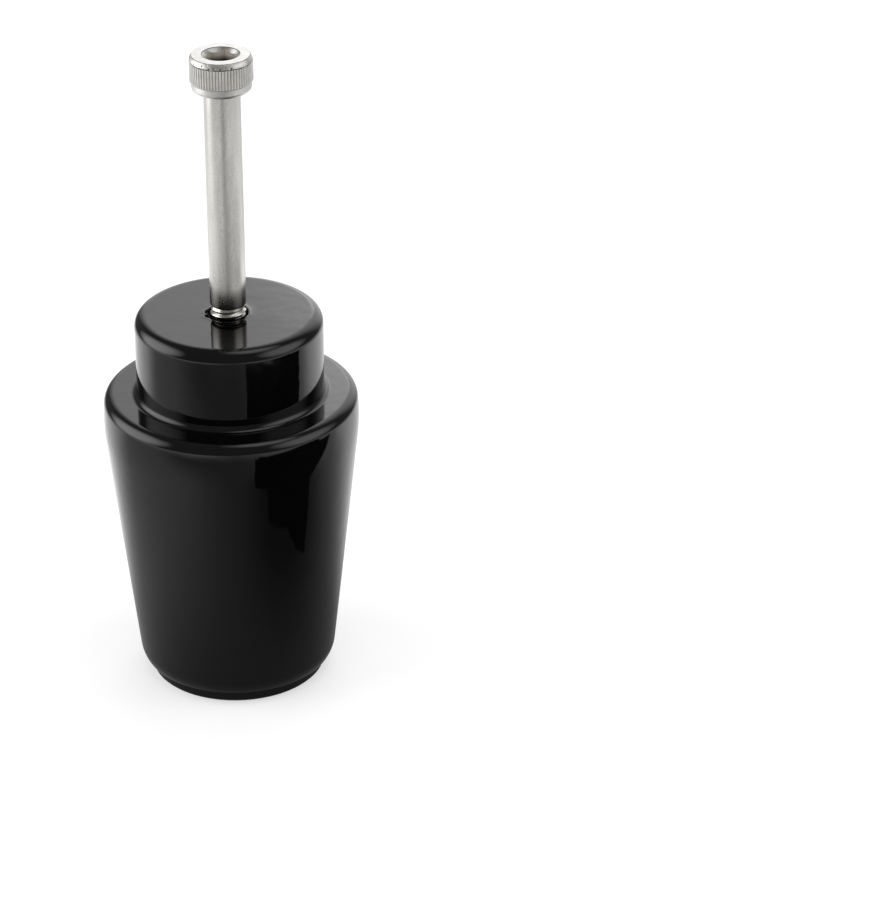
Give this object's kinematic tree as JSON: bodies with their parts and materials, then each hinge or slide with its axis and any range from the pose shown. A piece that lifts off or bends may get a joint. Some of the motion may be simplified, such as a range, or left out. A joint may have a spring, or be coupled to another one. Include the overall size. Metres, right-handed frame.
{
  "type": "bar end weight",
  "caption": "Turned steel handlebar end weight with a tapered body, a stepped neck and a socket head cap screw in its blind tapped hole.",
  "frame": {"origin": "centre of the base ring's flat face, on the surface the weight stands on", "axes": "+Z along the turned axis, from the base ring up through the neck and the screw; X and Y are any two directions across it"},
  "size_m": [0.0418, 0.0418, 0.1098],
  "materials": {
    "gloss_black_coat": "gloss black coating on turned steel",
    "stainless_screw": "satin stainless steel with a polished head edge"
  },
  "bodies": {
    "root": {"weight": "gloss_black_coat", "cap_screw": "stainless_screw"}
  },
  "joints": []
}
